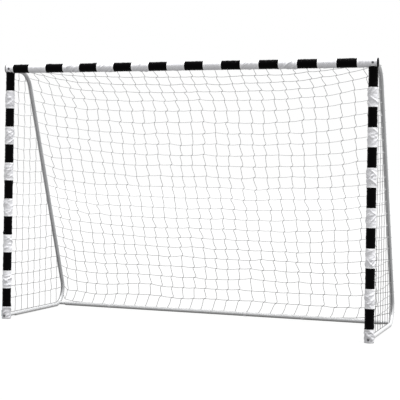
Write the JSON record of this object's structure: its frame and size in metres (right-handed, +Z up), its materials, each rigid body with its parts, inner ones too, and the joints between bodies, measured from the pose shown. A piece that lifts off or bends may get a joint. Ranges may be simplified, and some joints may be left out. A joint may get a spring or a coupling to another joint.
{
  "type": "soccer goal frame",
  "caption": "Free-standing garden soccer goal: round-tube front frame in banded sleeves, bent side frames, rear ground bar and a square-mesh net.",
  "frame": {"origin": "on the ground, at the middle of the goal's outline", "axes": "+X to the right along the crossbar as seen from in front, +Y from the mouth to the back, +Z up; the mouth faces -Y"},
  "size_m": [3, 1.1155, 2.05],
  "materials": {
    "front_paint": "white powder coat",
    "side_paint": "white powder coat",
    "cap_plastic": "black moulded plastic",
    "bolt_steel": "dark zinc plating",
    "plug_steel": "plain steel",
    "sleeve_fabric": "woven sleeve in black and white bands",
    "net_cord": "knotted pale cord",
    "strap_webbing": "woven webbing"
  },
  "bodies": {
    "root": {"bolt_washers": "bolt_steel", "corner_bolts": "bolt_steel", "corner_spigot_left": "front_paint", "corner_spigot_right": "front_paint", "crossbar_left": "front_paint", "crossbar_middle": "front_paint", "crossbar_right": "front_paint", "crossbar_sleeve": "sleeve_fabric", "end_cap_left": "cap_plastic", "end_cap_right": "cap_plastic", "foot_bolts": "bolt_steel", "foot_cap_left": "cap_plastic", "foot_cap_right": "cap_plastic", "foot_thread_plugs": "plug_steel", "net_back": "net_cord", "net_side_left": "net_cord", "net_side_right": "net_cord", "post_lower_left": "front_paint", "post_lower_right": "front_paint", "post_sleeve_left": "sleeve_fabric", "post_sleeve_right": "sleeve_fabric", "post_upper_left": "front_paint", "post_upper_right": "front_paint", "rear_bar_left": "side_paint", "rear_bar_middle": "side_paint", "rear_bar_right": "side_paint", "rear_net_straps": "strap_webbing", "rear_stub_left": "side_paint", "rear_stub_right": "side_paint", "side_bottom_bend_left": "side_paint", "side_bottom_bend_right": "side_paint", "side_ground_tube_left": "side_paint", "side_ground_tube_right": "side_paint", "side_slope_tube_left": "side_paint", "side_slope_tube_right": "side_paint", "side_top_bend_left": "side_paint", "side_top_bend_right": "side_paint", "top_thread_plugs": "plug_steel"}
  },
  "joints": []
}
